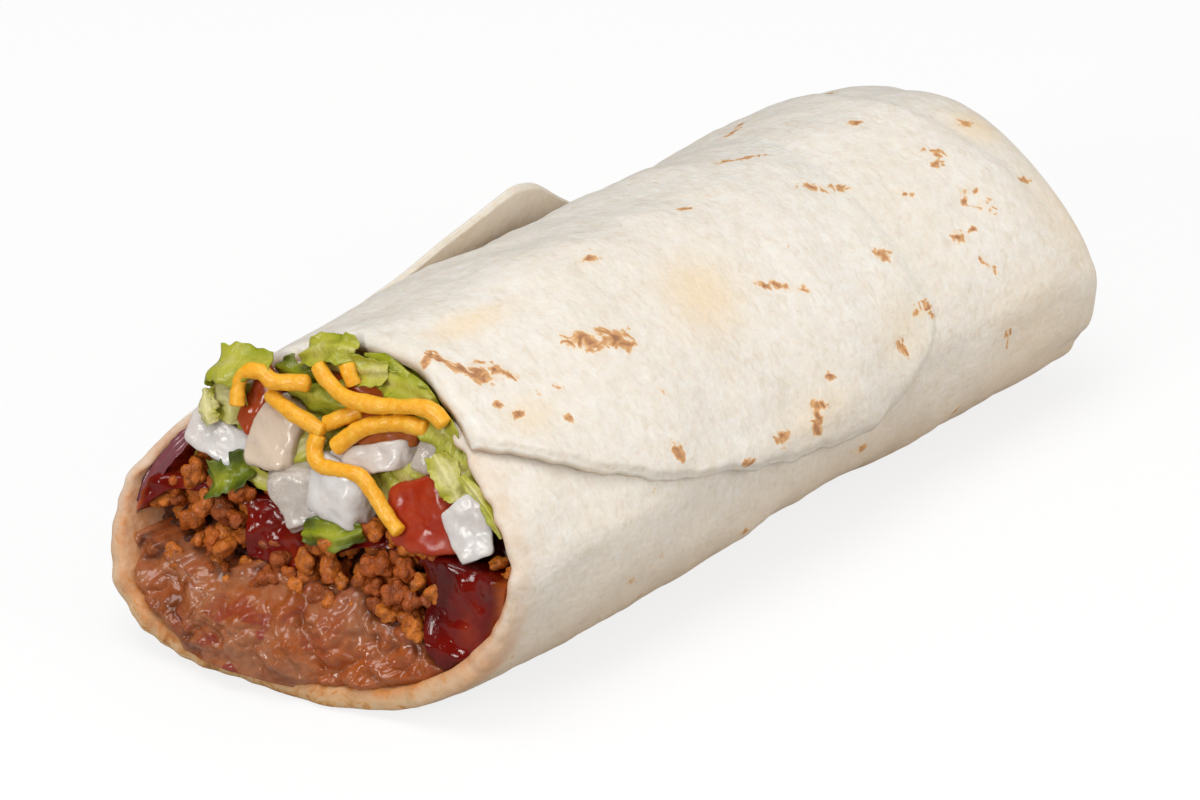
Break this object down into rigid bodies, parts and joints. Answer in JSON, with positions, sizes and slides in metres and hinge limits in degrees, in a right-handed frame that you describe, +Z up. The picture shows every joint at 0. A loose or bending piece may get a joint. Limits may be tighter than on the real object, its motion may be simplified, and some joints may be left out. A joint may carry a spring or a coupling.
{
  "type": "burrito",
  "caption": "Flour tortilla rolled round beans, ground beef, red sauce, lettuce, onion, tomato and shredded cheese, folded shut at one end and open at the other.",
  "frame": {"origin": "middle of the bounding box on the plane the burrito rests on", "axes": "+X along the roll towards the folded end, the filled opening at -X, +Z up, the outer flap's edge on the -Y side"},
  "size_m": [0.1683, 0.0784, 0.0528],
  "materials": {
    "flour_tortilla": null,
    "refried_beans": null,
    "seasoned_beef": null,
    "red_sauce": null,
    "shredded_lettuce": null,
    "white_onion": null,
    "fresh_tomato": null,
    "cheddar_cheese": null
  },
  "bodies": {
    "root": {"tortilla": "flour_tortilla", "refried_beans": "refried_beans", "seasoned_beef": "seasoned_beef", "red_sauce": "red_sauce", "shredded_lettuce": "shredded_lettuce", "onion_dice_1": "white_onion", "onion_dice_2": "white_onion", "onion_dice_3": "white_onion", "onion_dice_4": "white_onion", "onion_dice_5": "white_onion", "onion_dice_6": "white_onion", "onion_dice_7": "white_onion", "tomato_dice_1": "fresh_tomato", "tomato_dice_2": "fresh_tomato", "tomato_dice_3": "fresh_tomato", "tomato_dice_4": "fresh_tomato", "cheese_shred_1": "cheddar_cheese", "cheese_shred_2": "cheddar_cheese", "cheese_shred_3": "cheddar_cheese", "cheese_shred_4": "cheddar_cheese", "cheese_shred_5": "cheddar_cheese", "cheese_shred_6": "cheddar_cheese", "cheese_shred_7": "cheddar_cheese"}
  },
  "joints": []
}
